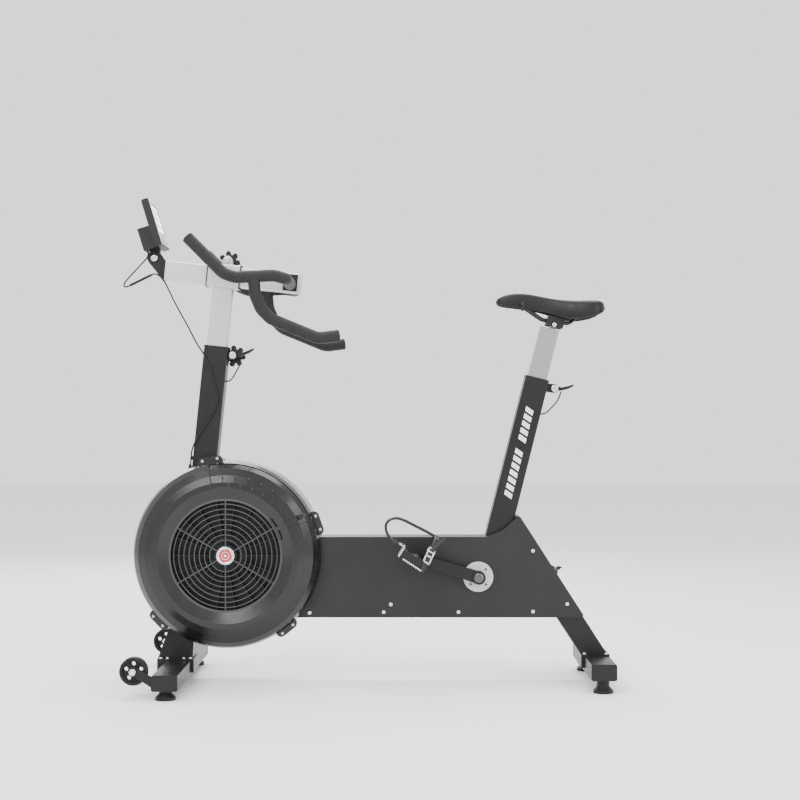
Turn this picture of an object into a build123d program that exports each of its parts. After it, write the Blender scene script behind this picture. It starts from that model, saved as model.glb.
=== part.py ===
from build123d import *
import os
from math import cos, pi, radians, sin, tan

# Exercise bike with fan resistance. Millimetres, +Z up, the rider faces -X and the left side is -Y.
# The origin is on the floor, under the middle of the bike.

# ---- driving dimensions -------------------------------------------------------------------------
FRONT_BEAM = dict(x=-496.5, bottom=24.6, top=60.5, half=305.0, foot_y=280.0)
REAR_BEAM = dict(x=576.5, bottom=34.0, top=72.0, half=205.0, foot_y=180.0)
BEAM_WIDTH = 62.0
BEAM_WALL = 3.0
CAP_THICKNESS = 6.0
FOOT_RADIUS = 25.0
FOOT_STEM = 5.0

WHEEL_X, WHEEL_Z, WHEEL_RADIUS = -575.0, 68.0, 34.0
WHEEL_IN, WHEEL_OUT = 258.0, 282.0
ARM_IN, ARM_OUT = 284.0, 288.0

POST_LEAN = 5.8
SEAT_LEAN = 14.1
OUTER_TUBE, OUTER_WALL = 62.0, 3.0
INNER_TUBE, INNER_WALL = 50.0, 2.5
SLIDE_FIT = 0.1

COVER_HALF, COVER_WALL = 48.0, 3.0
LEG_HALF = 40.0
PLATE_OUT = 44.0

FAN_X, FAN_Z = -370.5, 334.5
FAN_RIM, FAN_WALL = 240.0, 3.0
GRILLE_RADIUS = 144.0
DOME_FACE_Y = -118.0
DAMPER_REST = 27.5

CRANK_X, CRANK_Z = 272.5, 276.0
CRANK_LENGTH, CRANK_ANGLE = 170.0, 17.5
JACK_X, JACK_Z = -60.0, 290.0
CRANK_PULLEY, JACK_SMALL, JACK_LARGE, FAN_PULLEY = 68.0, 24.0, 80.0, 26.0
BELT_NEAR, BELT_FAR = (-24.0, -8.0), (8.0, 24.0)
BELT_THICKNESS, BELT_GAP = 2.0, 0.3
PEDAL_IN, PEDAL_OUT = 90.0, 178.0
PEDAL_TILT = 33.0

BAR_RADIUS, BAR_BORE = 15.0, 12.5
BAR_SIDE_Y = 205.0
MONITOR_LEAN = 17.0
HINGE_FIT = 0.05
BUTTON_Y, BUTTON_W = 28.0, -41.5
LEAD_RADIUS = 2.0


# ---- helpers ------------------------------------------------------------------------------------
def save(name, shape):
    export_step(shape, f"parts/{name}.step")


def side_plane(y):
    """A plane facing the left side, with local x along +X and local y along +Z."""
    return Plane(origin=(0, y, 0), x_dir=(1, 0, 0), z_dir=(0, -1, 0))


def outline(points, radii=None):
    if radii is None:
        return make_face(Polyline(*points, close=True).edges())
    return make_face(FilletPolyline(*points, radius=radii, close=True).edges())


def plate(face, y_low, y_high):
    """A flat outline in X and Z, given thickness from y_low to y_high."""
    return extrude(side_plane(y_high) * face, amount=y_high - y_low, dir=(0, -1, 0))


def pin(x, z, radius, y_low, y_high):
    """A cylinder along Y."""
    return Pos(x, (y_low + y_high) / 2, z) * Rot(90, 0, 0) * Cylinder(radius, y_high - y_low)


def ring(x, z, outer, bore, y_low, y_high):
    return pin(x, z, outer, y_low, y_high) - pin(x, z, bore, y_low - 1, y_high + 1)


def block(x_span, y_span, z_span):
    spans = (x_span, y_span, z_span)
    middle = [(low + high) / 2 for low, high in spans]
    return Pos(*middle) * Box(*[high - low for low, high in spans])


def square_tube(place, low, high, size, bore, corner=4.0):
    """A square tube along the local z axis of a place."""
    outer = RectangleRounded(size, size, corner)
    inner = RectangleRounded(bore, bore, max(corner - (size - bore) / 2, 1.0))
    return place * Pos(0, 0, low) * extrude(outer - inner, amount=high - low)


def round_bar(points, radii, radius, bore=0.0):
    """A round bar, or a tube if it has a bore, along straight runs and tangent arcs."""
    path = FilletPolyline(*points, radius=radii)
    section = Circle(radius) - Circle(bore) if bore else Circle(radius)
    return sweep(Plane(origin=path @ 0, z_dir=path % 0) * section, path=path)


def about_fan(profile):
    """Turn a profile of (radius, y) points about the fan's axis."""
    spun = revolve(make_face(Polyline(*[(r, y, 0) for r, y in profile], close=True).edges()), axis=Axis.Y)
    return Pos(FAN_X, 0, FAN_Z) * spun


def polar(radius, degrees, x=0.0, z=0.0):
    return (x + radius * cos(radians(degrees)), z + radius * sin(radians(degrees)))


def both_sides(make):
    return [make(-1), make(1)]


def mirrored(shape):
    return mirror(shape, about=Plane.XZ)


def local_frame(x, z, lean):
    """A place in the middle plane whose local z axis leans towards +X by lean degrees."""
    return Pos(x, 0, z) * Rot(0, lean, 0)


POST = local_frame(-403.1, 866.0, POST_LEAN)
SEAT = local_frame(425.9, 783.8, SEAT_LEAN)
SLEEVE_RISE = 186.0
BEAM = POST * Pos(0, 0, SLEEVE_RISE)
BEAM_AXIS = BEAM * Rot(0, 90, 0)
MONITOR = local_frame(-562.5, 1181.0, -MONITOR_LEAN)


def local_plate(place, face, y_low, y_high):
    return place * plate(face, y_low, y_high)


def local_pin(place, u, w, radius, y_low, y_high):
    return place * pin(u, w, radius, y_low, y_high)


# ---- outlines -----------------------------------------------------------------------------------
COVER_POINTS = [(-300, 171), (547.7, 171), (378.5, 433.6), (338, 397), (296, 378), (-300, 378)]
COVER_RADII = [1, 6, 5, 60, 60, 1]
COVER_FACE = outline(COVER_POINTS, COVER_RADII)
FRONT_LEG_POINTS = [(-552, 65), (-462, 65), (-458, 140), (-440.2, 198.4), (-501.9, 204.6), (-524, 140)]
FRONT_LEG_HOLLOW = [(-547, 60), (-466.5, 60), (-462.6, 141), (-446, 194), (-498, 199), (-519, 140)]
REAR_LEG_POINTS = [(536.6, 76), (605.3, 76), (432.0, 345), (360.7, 345)]
REAR_LEG_HOLLOW = [(545, 70), (604.4, 70), (430.2, 341), (368, 341)]
PLATE_POINTS = [(-470, 178), (526, 178), (421, 343), (340, 372), (-470, 372)]


# ---- stands -------------------------------------------------------------------------------------
def make_beam(beam, arms):
    """One stabilizer beam with its foot holes, and the flat arms of the transport wheels."""
    low, high = beam["x"] - BEAM_WIDTH / 2, beam["x"] + BEAM_WIDTH / 2
    end = beam["half"] - CAP_THICKNESS
    tube = block((low, high), (-end, end), (beam["bottom"], beam["top"]))
    tube -= block((low + BEAM_WALL, high - BEAM_WALL), (-end - 1, end + 1),
                  (beam["bottom"] + BEAM_WALL, beam["top"] - BEAM_WALL))
    for side in (-1, 1):
        hole = Cylinder(FOOT_STEM + HINGE_FIT, 20)
        tube -= Pos(beam["x"], side * beam["foot_y"], beam["bottom"]) * hole
    if arms:
        tube += both_sides(lambda side: make_wheel_arm(side, low))
    return tube


def make_wheel_arm(side, beam_front):
    """A flat bar from the beam's front face, with the bolt that the wheel turns on."""
    arm = outline([(beam_front - 2, 56), (beam_front - 2, 30), (WHEEL_X + 4, 56), (WHEEL_X, 80),
                   (WHEEL_X + 10, 78)])
    y_span = sorted((side * ARM_IN, side * ARM_OUT))
    flange = block((beam_front - 4, beam_front), sorted((side * (ARM_OUT - 22), side * ARM_OUT)), (30, 56))
    bolt = pin(WHEEL_X, WHEEL_Z, 5.0, *sorted((side * (WHEEL_IN - 5), side * (ARM_OUT + 3))))
    head = pin(WHEEL_X, WHEEL_Z, 9.0, *sorted((side * (WHEEL_IN - 5), side * (WHEEL_IN - 0.5))))
    boss = pin(WHEEL_X, WHEEL_Z, 12.0, *y_span)
    return plate(arm, *y_span) + flange + bolt + head + boss


def make_saddle(beam, x_low, x_high, drop=30.0):
    """The welded bracket that sits over a beam like an inverted U."""
    top = beam["top"]
    outer = block((x_low, x_high), (-52, 52), (top - drop, top + 4.5))
    gap = block((beam["x"] - BEAM_WIDTH / 2, beam["x"] + BEAM_WIDTH / 2), (-60, 60), (0, top))
    return outer - gap


def make_end_caps():
    caps = []
    for beam in (FRONT_BEAM, REAR_BEAM):
        for side in (-1, 1):
            y_span = sorted((side * (beam["half"] - CAP_THICKNESS), side * beam["half"]))
            cap = block((beam["x"] - 32, beam["x"] + 32), y_span, (beam["bottom"] - 1.5, beam["top"] + 1.5))
            caps.append(fillet(cap.edges().filter_by(Axis.Y), 5))
    return caps


def make_foot(beam, side):
    """A levelling foot: a bell-shaped rubber base on a threaded stem."""
    top = beam["bottom"]
    profile = [(0, 0), (FOOT_RADIUS, 0), (FOOT_RADIUS, 7), (19, 13), (15.5, 18), (15.5, top),
               (FOOT_STEM, top), (FOOT_STEM, top + 20), (0, top + 20)]
    foot = revolve(make_face(Polyline(*[(r, 0, z) for r, z in profile], close=True).edges()), axis=Axis.Z)
    return Pos(beam["x"], side * beam["foot_y"], 0) * foot


def make_wheel(side):
    """A transport wheel with five round holes and a grooved tread."""
    near, far = side * WHEEL_IN, side * WHEEL_OUT
    wheel = ring(WHEEL_X, WHEEL_Z, WHEEL_RADIUS, FOOT_STEM + HINGE_FIT, *sorted((near, far)))
    web_depth = 7.0
    for face, inward in ((near, side), (far, -side)):
        y_span = sorted((face, face + inward * web_depth))
        wheel -= ring(WHEEL_X, WHEEL_Z, 27.0, 11.0, *y_span)
    for step in range(5):
        x, z = polar(19.0, 90 + 72 * step, WHEEL_X, WHEEL_Z)
        wheel -= pin(x, z, 5.0, *sorted((near, far)))
    return wheel


# ---- frame --------------------------------------------------------------------------------------
def make_front_leg():
    leg = plate(outline(FRONT_LEG_POINTS), -LEG_HALF, LEG_HALF)
    leg -= plate(outline(FRONT_LEG_HOLLOW), -LEG_HALF + 4, LEG_HALF - 4)
    return leg + make_saddle(FRONT_BEAM, -552, -458)


def make_rear_leg():
    leg = plate(outline(REAR_LEG_POINTS), -LEG_HALF, LEG_HALF)
    leg -= plate(outline(REAR_LEG_HOLLOW), -LEG_HALF + 4, LEG_HALF - 4)
    return leg + make_saddle(REAR_BEAM, 536.6, 610.0)


def make_drive_frame():
    """The weldment inside the covers: a lower tube, and two plates that carry the bearings."""
    spine = block((-430, 430), (-LEG_HALF, LEG_HALF), (178, 203))
    spine -= block((-431, 431), (-LEG_HALF + 3, LEG_HALF - 3), (181, 200))
    plates = []
    for side in (-1, 1):
        side_plate = plate(outline(PLATE_POINTS), *sorted((side * LEG_HALF, side * PLATE_OUT)))
        for x, z, shaft in ((CRANK_X, CRANK_Z, 10.0), (JACK_X, JACK_Z, 8.0), (FAN_X, FAN_Z, 8.5)):
            side_plate += pin(x, z, shaft + 11, *sorted((side * 32.0, side * PLATE_OUT)))
            side_plate -= pin(x, z, shaft + HINGE_FIT, *sorted((side * 30.0, side * 50.0)))
        plates.append(side_plate)
    return spine + plates


def make_cover(side):
    """One moulded half of the drive cover, open towards the middle plane."""
    shell = plate(COVER_FACE, -COVER_HALF, 0)
    shell -= plate(offset(COVER_FACE, -COVER_WALL), -COVER_HALF + COVER_WALL, 1)
    gap = 0.3
    legs = plate(offset(outline(REAR_LEG_POINTS), gap), -LEG_HALF - gap, 1)
    tube = SEAT * Pos(0, 0, -215) * Box(OUTER_TUBE + 2 * gap, OUTER_TUBE + 2 * gap, 470)
    shell = shell - legs - tube
    shell -= block((-301, -296), (-COVER_HALF + COVER_WALL, 1), (174, 375))
    shell -= pin(CRANK_X, CRANK_Z, 14.0, -60, -40)
    shell -= pin(JACK_X, JACK_Z, 21.0, -47, -40)
    shell -= pin(CRANK_X, CRANK_Z, 23.0, -45.0, -40)
    shell = max(shell.solids(), key=lambda solid: solid.volume)
    return shell if side < 0 else mirrored(shell)


def make_bearing_covers():
    """Flat round covers, one on each side of the crank axle."""
    covers = []
    for side in (-1, 1):
        face, outside = side * COVER_HALF, side * (COVER_HALF + 6)
        cover = ring(CRANK_X, CRANK_Z, 38.5, 10.0 + HINGE_FIT, *sorted((face, outside)))
        cover = chamfer(cover.edges().filter_by(GeomType.CIRCLE).sort_by(Axis.Y)[0 if side < 0 else -1], 1)
        covers.append(cover)
    return covers


def make_seat_tube():
    """The seat tube, its end plate between the bearing plates, and the ears of the latch."""
    tube = square_tube(SEAT, -430, 0, OUTER_TUBE, OUTER_TUBE - 2 * OUTER_WALL)
    tube += SEAT * Pos(0, 0, -433) * Box(68, 2 * LEG_HALF, 6)
    return tube + make_ears(SEAT, *SEAT_PIVOT)


EAR_IN, EAR_OUT = 14.0, 19.0
SEAT_PIVOT = (49.9, -11.7)
POST_PIVOT = (43.5, -15.7)
KNOB_Y = 33.0
COLLAR = ((-34, 46), (-34, 34), (-295, -285))


def make_ears(place, u, w):
    """Two ears behind a tube and the bolt between them, which a lever turns on."""
    ears = []
    half = OUTER_TUBE / 2
    for side in (-1, 1):
        y_span = sorted((side * EAR_IN, side * EAR_OUT))
        ears.append(local_pin(place, u, w, 11.0, *y_span))
        ears.append(local_plate(place, outline([(half, w - 13), (u, w - 11), (u, w + 11), (half, w + 9)]), *y_span))
    bolt = local_pin(place, u, w, 5.0, -EAR_OUT - 1, EAR_OUT + 1)
    head = local_pin(place, u, w, 9.0, -EAR_OUT - 5, -EAR_OUT)
    return ears[0] + ears[1:] + bolt + head


def make_front_post():
    """The front post with its collar on the fan housing and the ears of its latch."""
    post = square_tube(POST, -664, 0, OUTER_TUBE, OUTER_TUBE - 2 * OUTER_WALL)
    collar = POST * (block(*COLLAR) - Pos(0, 0, COLLAR[2][0]) * Box(OUTER_TUBE, OUTER_TUBE, 30))
    ears = make_ears(POST, *POST_PIVOT)
    stud = local_pin(POST, *POST_PIVOT, 4.0, EAR_OUT, KNOB_Y + 20) + local_pin(POST, *POST_PIVOT, 7, EAR_OUT, KNOB_Y - 0.3)
    return post + collar + ears + stud


def make_bushing(place):
    """A plastic insert with a lip, in the mouth of an outer tube."""
    bore = INNER_TUBE + 2 * SLIDE_FIT
    insert = square_tube(place, -60, 0, OUTER_TUBE - 2 * OUTER_WALL, bore, 3.0)
    return insert + square_tube(place, 0, 4, OUTER_TUBE + 1, bore, 4.0)


# ---- fan housing --------------------------------------------------------------------------------
def make_fan_drum():
    """The middle ring of the fan housing and its far cover, cut out for the frame."""
    inner = FAN_RIM - FAN_WALL
    ring_part = about_fan([(inner, -COVER_HALF), (FAN_RIM, -COVER_HALF), (FAN_RIM, 52), (232, 60), (200, 64),
                           (60, 64), (60, 61), (199, 61), (230, 57.5), (inner, 51)])
    hub = ring(FAN_X, FAN_Z, 62.0, 20.0, 61, 66)
    drum = ring_part + hub
    gap = 0.4
    drum -= plate(offset(COVER_FACE, gap), -COVER_HALF - 1, COVER_HALF + gap)
    drum -= plate(offset(outline(FRONT_LEG_POINTS), gap), -LEG_HALF - gap, LEG_HALF + gap)
    drum -= POST * Pos(0, 0, -300) * Box(OUTER_TUBE + 2 * gap, OUTER_TUBE + 2 * gap, 200)
    drum -= POST * block(*[(low - gap, high + gap) for low, high in COLLAR])
    return max(drum.solids(), key=lambda solid: solid.volume)


DOME_OUTSIDE = [(240, -48), (240, -64), (234, -84), (222, -100), (204, -112), (186, -117.4), (172, -118),
                (144, -108)]
DOME_INSIDE = [(144, -105), (171, -114.7), (186, -114.2), (203, -109), (219.5, -98), (231, -82.8), (237, -63.5),
               (237, -48)]
SCALE_START, SCALE_END = 23.0, 101.0
SCALE_DROP = 2.5
LOBE_ANGLES = ((15, 23.5), (96, 105), (220, 228), (305, 313))
LOBE_CENTRE, LOBE_RADIUS = 241.0, 14.0


def sector(low, high, inner, outer):
    """A wedge of the space around the fan's axis, between two angles and two radii."""
    steps = 6
    angles = [low + (high - low) * step / steps for step in range(steps + 1)]
    reach = outer / cos(radians((high - low) / steps / 2))
    points = [polar(reach, angle, FAN_X, FAN_Z) for angle in angles]
    wedge = plate(outline([(FAN_X, FAN_Z)] + points), -140, -40)
    wedge -= pin(FAN_X, FAN_Z, inner, -141, -39)
    return wedge & pin(FAN_X, FAN_Z, outer, -141, -39)


def make_fan_cover():
    """The near dome: a recessed damper scale, four screw lobes and a bevel down to the grille."""
    dome = about_fan(DOME_OUTSIDE + DOME_INSIDE)
    scale = sector(SCALE_START, SCALE_END, 173.0, 234.0)
    lowered = Pos(0, SCALE_DROP, 0) * dome & scale
    dome = dome - scale + lowered
    for step in range(7):
        angle = 35 + step * 9.5
        mark = Pos(FAN_X, 0, FAN_Z) * Rot(0, -angle, 0) * Pos(190, -113.2, 0) * Box(22, 3.4, 2.4)
        dome += mark
    for pair in LOBE_ANGLES:
        circles = [Pos(*polar(LOBE_CENTRE, angle, FAN_X, FAN_Z)) * Circle(LOBE_RADIUS) for angle in pair]
        lobe = plate(make_hull(circles[0].edges() + circles[1].edges()), -64, -COVER_HALF)
        dome += lobe - pin(FAN_X, FAN_Z, 237.5, -65, -47)
    lowered_cover = plate(offset(COVER_FACE, 0.4), -COVER_HALF, -40)
    dome -= lowered_cover
    return max(dome.solids(), key=lambda solid: solid.volume)


def make_fan_grille():
    """Wire rings on six spokes, with a plain round badge in the middle."""
    rings = [40 + 13 * step for step in range(8)]
    wire = 2.4
    grille = ring(FAN_X, FAN_Z, GRILLE_RADIUS, GRILLE_RADIUS - 5, -108, -105)
    for radius in rings:
        grille += ring(FAN_X, FAN_Z, radius + wire / 2, radius - wire / 2, -108, -105.5)
    for step in range(6):
        spoke = Pos(FAN_X, -105.5, FAN_Z) * Rot(0, -30 - 60 * step, 0) * Pos(81, 0, 0) * Box(122, 2.4, 3)
        grille += spoke
    badge = pin(FAN_X, FAN_Z, 23.5, -110, -104.3)
    return grille + badge


def make_fan_wheel():
    """The fan: a hub, a back disc and flat blades."""
    wheel = ring(FAN_X, FAN_Z, 28, 8.5, -98, -56) + ring(FAN_X, FAN_Z, 203, 27, -60, -58)
    blade = Pos(124, -78.5, 0) * Box(156, 37, 1.6)
    blades = [Pos(FAN_X, 0, FAN_Z) * Rot(0, 20 * step, 0) * blade for step in range(18)]
    return wheel + blades


def make_fan_shaft():
    shaft = pin(FAN_X, FAN_Z, 8.5, -98, 46) + pin(FAN_X, FAN_Z, 14, -56, -46)
    return shaft + make_pulley(FAN_X, FAN_Z, FAN_PULLEY, BELT_FAR)


def make_damper_lever():
    """A bent blade over the damper scale, on a curved shoe that slides along the bevel."""
    shoe = ring(FAN_X, FAN_Z, 149, 144.6, -113.8, -111.4)
    shoe &= sector(DAMPER_REST - 12, DAMPER_REST + 12, 120, 160)
    profile = [(145, -111.5), (172, -120.5), (190, -120), (208, -113.8), (226, -101.5), (228, -104), (210, -116.5),
               (191, -122.8), (171.5, -123), (145, -114)]
    blade = extrude(make_face(Polyline(*profile, close=True).edges()), amount=4.5, both=True)
    blade += Pos(216, -116, 0) * Rot(90, 0, 0) * Cylinder(6.5, 16)
    return shoe + Pos(FAN_X, 0, FAN_Z) * Rot(0, -DAMPER_REST, 0) * blade


# ---- drive --------------------------------------------------------------------------------------
def make_pulley(x, z, radius, y_span):
    """A belt pulley with a low flange on each side."""
    low, high = y_span
    flange = 1.5
    wheel = pin(x, z, radius, low, high)
    for edge in (low - flange, high):
        wheel += pin(x, z, radius + BELT_THICKNESS + 0.5, edge, edge + flange)
    return wheel


def make_belt(first, second, y_span):
    """A closed belt round two pulleys, a hair clear of both."""
    low, high = y_span[0] + 0.4, y_span[1] - 0.4


    def loop(extra):
        circles = [Pos(x, z) * Circle(radius + extra) for x, z, radius in (first, second)]
        return make_hull(circles[0].edges() + circles[1].edges())

    return plate(loop(BELT_GAP + BELT_THICKNESS), low, high) - plate(loop(BELT_GAP), low - 1, high + 1)


def make_crank_axle():
    axle = pin(CRANK_X, CRANK_Z, 10, -84, 84)
    pulley = make_pulley(CRANK_X, CRANK_Z, CRANK_PULLEY, BELT_NEAR)
    for step in range(5):
        x, z = polar(42, 72 * step, CRANK_X, CRANK_Z)
        pulley -= pin(x, z, 15, -30, 0)
    return axle + pulley


def make_jackshaft():
    shaft = pin(JACK_X, JACK_Z, 8, -46, 46)
    large = make_pulley(JACK_X, JACK_Z, JACK_LARGE, BELT_FAR)
    for step in range(6):
        x, z = polar(48, 60 * step, JACK_X, JACK_Z)
        large -= pin(x, z, 17, 0, 30)
    return shaft + large + make_pulley(JACK_X, JACK_Z, JACK_SMALL, BELT_NEAR)


def pedal_axis(side):
    turn = 180 - CRANK_ANGLE if side < 0 else -CRANK_ANGLE
    return polar(CRANK_LENGTH, turn, CRANK_X, CRANK_Z)


def make_crank_arm(side):
    """A crank arm on the square of the axle, with the pedal's spindle."""
    x, z = pedal_axis(side)
    arm_face = make_hull((Pos(CRANK_X, CRANK_Z) * Circle(16)).edges() + (Pos(x, z) * Circle(11.5)).edges())
    arm = plate(arm_face, *sorted((side * 69, side * 81)))
    arm += pin(CRANK_X, CRANK_Z, 17.6, *sorted((side * 66, side * 84)))
    arm -= pin(CRANK_X, CRANK_Z, 10, -90, 90)
    arm += pin(x, z, 13, *sorted((side * 68, side * 83)))
    arm += pin(x, z, 6, *sorted((side * 83, side * (PEDAL_OUT - 4))))
    arm += ring(CRANK_X, CRANK_Z, 12, 1, *sorted((side * 84, side * 86)))
    return arm


def pedal_place(side):
    """The pedal's own place: local x to the toe, local z up through the sole."""
    x, z = pedal_axis(side)
    return Pos(x, 0, z) * Rot(0, PEDAL_TILT, 0) * Rot(0, 0, 180)


def make_pedal_body(side):
    """The pedal body: a hub round the spindle, two side rails and ribs."""
    near, far = PEDAL_IN, PEDAL_OUT
    body = pin(0, 0, 12, near, far) + block((-34, 40), (near, near + 12), (-9, 9))
    body += block((-34, 40), (far - 12, far), (-9, 9))
    for u in (-30, -12, 14, 32):
        body += block((u - 3, u + 3), (near + 6, far - 6), (-8, 8))
    body -= pin(0, 0, 6 + HINGE_FIT, near - 1, far - 3.9)
    if side > 0:
        body = mirrored(body)
    return pedal_place(side) * body


def make_pedal_cage(side):
    """The bright front plate of the pedal, with a round hole, and the end reflector plate."""
    cage = block((40, 43), (PEDAL_IN, PEDAL_OUT), (-14, 14)) - Pos(41, 134, 0) * Rot(0, 90, 0) * Cylinder(7, 8)
    cage += block((40, 56), (118, 150), (11, 14))
    cage -= Pos(50, 134, 12) * Cylinder(3, 8)
    if side > 0:
        cage = mirrored(cage)
    return pedal_place(side) * cage


TOE_WIDTH = 24.0
TOE_POINTS = [(46, 8), (58, 8), (90, 12), (109, 30), (108, 48), (82, 67), (-20, 77)]
STRAP_U = -14.0
TOE_RADII = [6, 25, 14, 12, 18]


def make_toe_clip(side):
    """The toe clip's hoop, from the cage over the toes to the strap that crosses the instep."""
    path = FilletPolyline(*[(u, 0, w) for u, w in TOE_POINTS], radius=TOE_RADII)
    start = Plane(origin=path @ 0, x_dir=(0, 1, 0), z_dir=path % 0)
    hoop = Pos(0, 134, 0) * sweep(start * Rectangle(TOE_WIDTH, 3), path=path)
    foot_block = block((43, 58), (128, 140), (6.4, 9.6)) & block((43, 46), (120, 150), (0, 12))
    clip = hoop + foot_block
    near, far, top = PEDAL_IN - 2.5, PEDAL_OUT + 2.5, 77.0
    strap = block((STRAP_U - 7, STRAP_U + 7), (near, far), (-15, top))
    strap -= block((STRAP_U - 9, STRAP_U + 9), (near + 2, far - 2), (-13, top - 2))
    clip += strap + block((STRAP_U - 9, STRAP_U + 9), (far, far + 3.5), (22, 44))
    if side > 0:
        clip = mirrored(clip)
    return pedal_place(side) * clip


# ---- seat ---------------------------------------------------------------------------------------
SADDLE_PIVOT = (8.0, 147.0)


def make_seat_post():
    """The seat post with its top plug and the lug that the saddle tilts on."""
    post = square_tube(SEAT, -230, 131, INNER_TUBE, INNER_TUBE - 2 * INNER_WALL, 3)
    post += SEAT * Pos(0, 0, 133.5) * Box(INNER_TUBE, INNER_TUBE, 5)
    u, w = SADDLE_PIVOT
    lug = local_pin(SEAT, u, w, 9, -15.7, 15.7) + SEAT * block((u - 9, u + 9), (-15.7, 15.7), (135, w))
    lug -= local_pin(SEAT, u, w, 4 + HINGE_FIT, -16, 16)
    return post + lug


RAIL_Y = 22.0
CHANNEL_HALF = 34.0
RAIL_POINTS = [(388, 975), (440, 939), (511, 928.5), (530, 945), (534, 958)]


def make_saddle_rails():
    rails = []
    for side in (-1, 1):
        points = [(x, side * RAIL_Y, z) for x, z in RAIL_POINTS]
        rails.append(round_bar(points, [25, 12, 8], 3.5))
    return rails


def make_saddle_clamp(rails):
    """The sandwich clamp that grips both rails over the lug of the post."""
    u, w = SADDLE_PIVOT
    clamp = SEAT * block((u - 20, u + 24), (-30, 30), (142.5, 168))
    clamp -= SEAT * block((u - 30, u + 34), (-16, 16), (140, 160))
    clamp += local_pin(SEAT, u, w, 4, -33, 33)
    clamp += SEAT * (Pos(u, 0, 170) * Cylinder(7, 4))
    for rail in rails:
        clamp -= rail
    return clamp


def make_saddle_pad(rails):
    """The saddle's plain envelope: the side profile crossed with the plan outline."""
    side = plate(outline([(321, 989), (350, 1003), (378.5, 1011), (415, 1006), (450.5, 996), (491.5, 988),
                          (554.5, 985), (592, 987), (599, 975), (590, 953), (560, 943), (507, 936),
                          (460, 955), (440, 966), (388, 972), (330, 977)]), -80, 80)
    channel = outline([(440, 930), (600, 930), (600, 955), (507, 962), (440, 968)])
    plan = [(321, 9), (330, 17), (380, 20), (440, 26), (500, 48), (545, 69), (585, 68), (597, 50), (600, 20)]
    points = plan + [(x, -y) for x, y in reversed(plan)]
    top = extrude(Pos(0, 0, 900) * make_face(Polyline(*points, close=True).edges()), amount=150, dir=(0, 0, 1))
    pad = (side & top) - plate(channel, -CHANNEL_HALF, CHANNEL_HALF)
    for rail in rails:
        pad -= rail
    return max(pad.solids(), key=lambda solid: solid.volume)


def make_lever(place, u, w, tip_u, tip_w):
    """A latch lever: a hub between the ears and a curved blade out to the tip."""
    hub_half = EAR_IN - 0.3
    lever = local_pin(place, u, w, 10, -hub_half, hub_half)
    blade = [(u + 4, w + 9), (u + 18, w + 7.5), (tip_u - 12, tip_w - 1), (tip_u, tip_w + 6), (tip_u + 2, tip_w + 2),
             (tip_u - 9, tip_w - 8), (u + 20, w - 1), (u + 4, w - 6)]
    lever += local_plate(place, outline(blade), -9, 9)
    return lever - local_pin(place, u, w, 5 + HINGE_FIT, -20, 20)


def make_latch_spring(place, u, w, foot_w):
    """The return spring: a wire from the tube's rear face up to the underside of the lever."""
    half = OUTER_TUBE / 2
    points = [(half, 0, foot_w), (half + 12, 0, foot_w), (u + 15, 0, w - 36), (u + 20, 0, w - 3.5)]
    return place * round_bar(points, [9, 24], 1.3)


# ---- handlebar ----------------------------------------------------------------------------------
SLEEVE_HALF = 41.0
BEAM_FRONT, BEAM_REAR = -152.0, 197.0


def make_handlebar_post():
    """The inner post with the square sleeve on top that the fore-aft beam slides through."""
    post = square_tube(POST, -250, SLEEVE_RISE - 30, INNER_TUBE, INNER_TUBE - 2 * INNER_WALL, 3)
    sleeve = square_tube(BEAM_AXIS, -SLEEVE_HALF, SLEEVE_HALF, 60, 55, 3)
    lug = local_pin(BEAM, 5, 43, 11, -14, 14) + BEAM * block((-8, 18), (-14, 14), (30, 43))
    bolt = local_pin(BEAM, 5, 43, 4, -20, KNOB_Y + 20) + local_pin(BEAM, 5, 43, 7, 14, KNOB_Y - 0.3)
    head = local_pin(BEAM, 5, 43, 8, -19, -14)
    return post + sleeve + lug + bolt + head


def make_sleeve_bushings():
    """A plastic bushing in each end of the sleeve."""
    bushings = []
    bore = INNER_TUBE + 2 * SLIDE_FIT
    for low, high, lip_low, lip_high in ((-SLEEVE_HALF, -15, -SLEEVE_HALF - 3, -SLEEVE_HALF),
                                         (15, SLEEVE_HALF, SLEEVE_HALF, SLEEVE_HALF + 3)):
        bushing = square_tube(BEAM_AXIS, low, high, 55, bore, 2)
        bushings.append(bushing + square_tube(BEAM_AXIS, lip_low, lip_high, 63, bore, 4))
    return bushings


BAR_U, BAR_W = 174.0, -5.0
CLAMP_BLOCK = ((155, 192), (-25.5, 25.5), (-22, 22))


def make_beam_tube():
    """The fore-aft beam: windows for the bar clamp near its rear end, and an end plate."""
    beam = square_tube(BEAM_AXIS, BEAM_FRONT, BEAM_REAR, INNER_TUBE, INNER_TUBE - 2 * INNER_WALL, 3)
    beam -= BEAM * block(CLAMP_BLOCK[0], (-40, 40), CLAMP_BLOCK[2])
    beam += BEAM * block((BEAM_REAR, BEAM_REAR + 3), (-27, 27), (-27, 27))
    return beam


def make_bar_clamp():
    """The black block inside the beam that grips the handlebar."""
    return BEAM * (block(*CLAMP_BLOCK) - pin(BAR_U, BAR_W, BAR_RADIUS, -40, 40))


CROSSBAR = (BEAM * Pos(BAR_U, 0, BAR_W)).position
HALF_BAR = [(CROSSBAR.X, 100, CROSSBAR.Z), (CROSSBAR.X, 185, CROSSBAR.Z), (-240, 205, 1035), (-281.5, 205, 1033),
            (-337, 205, 1030), (-366, 205, 1041), (-453, 205, 1128.5)]


def make_handlebar():
    """The handlebar: a crossbar, two side runs and two raised front horns."""
    bar = ring(CROSSBAR.X, CROSSBAR.Z, BAR_RADIUS, BAR_BORE, -100, 100)
    half = round_bar(HALF_BAR, [30, 30, 60, 60, 45], BAR_RADIUS, BAR_BORE)
    return bar + half + mirrored(half)


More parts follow.
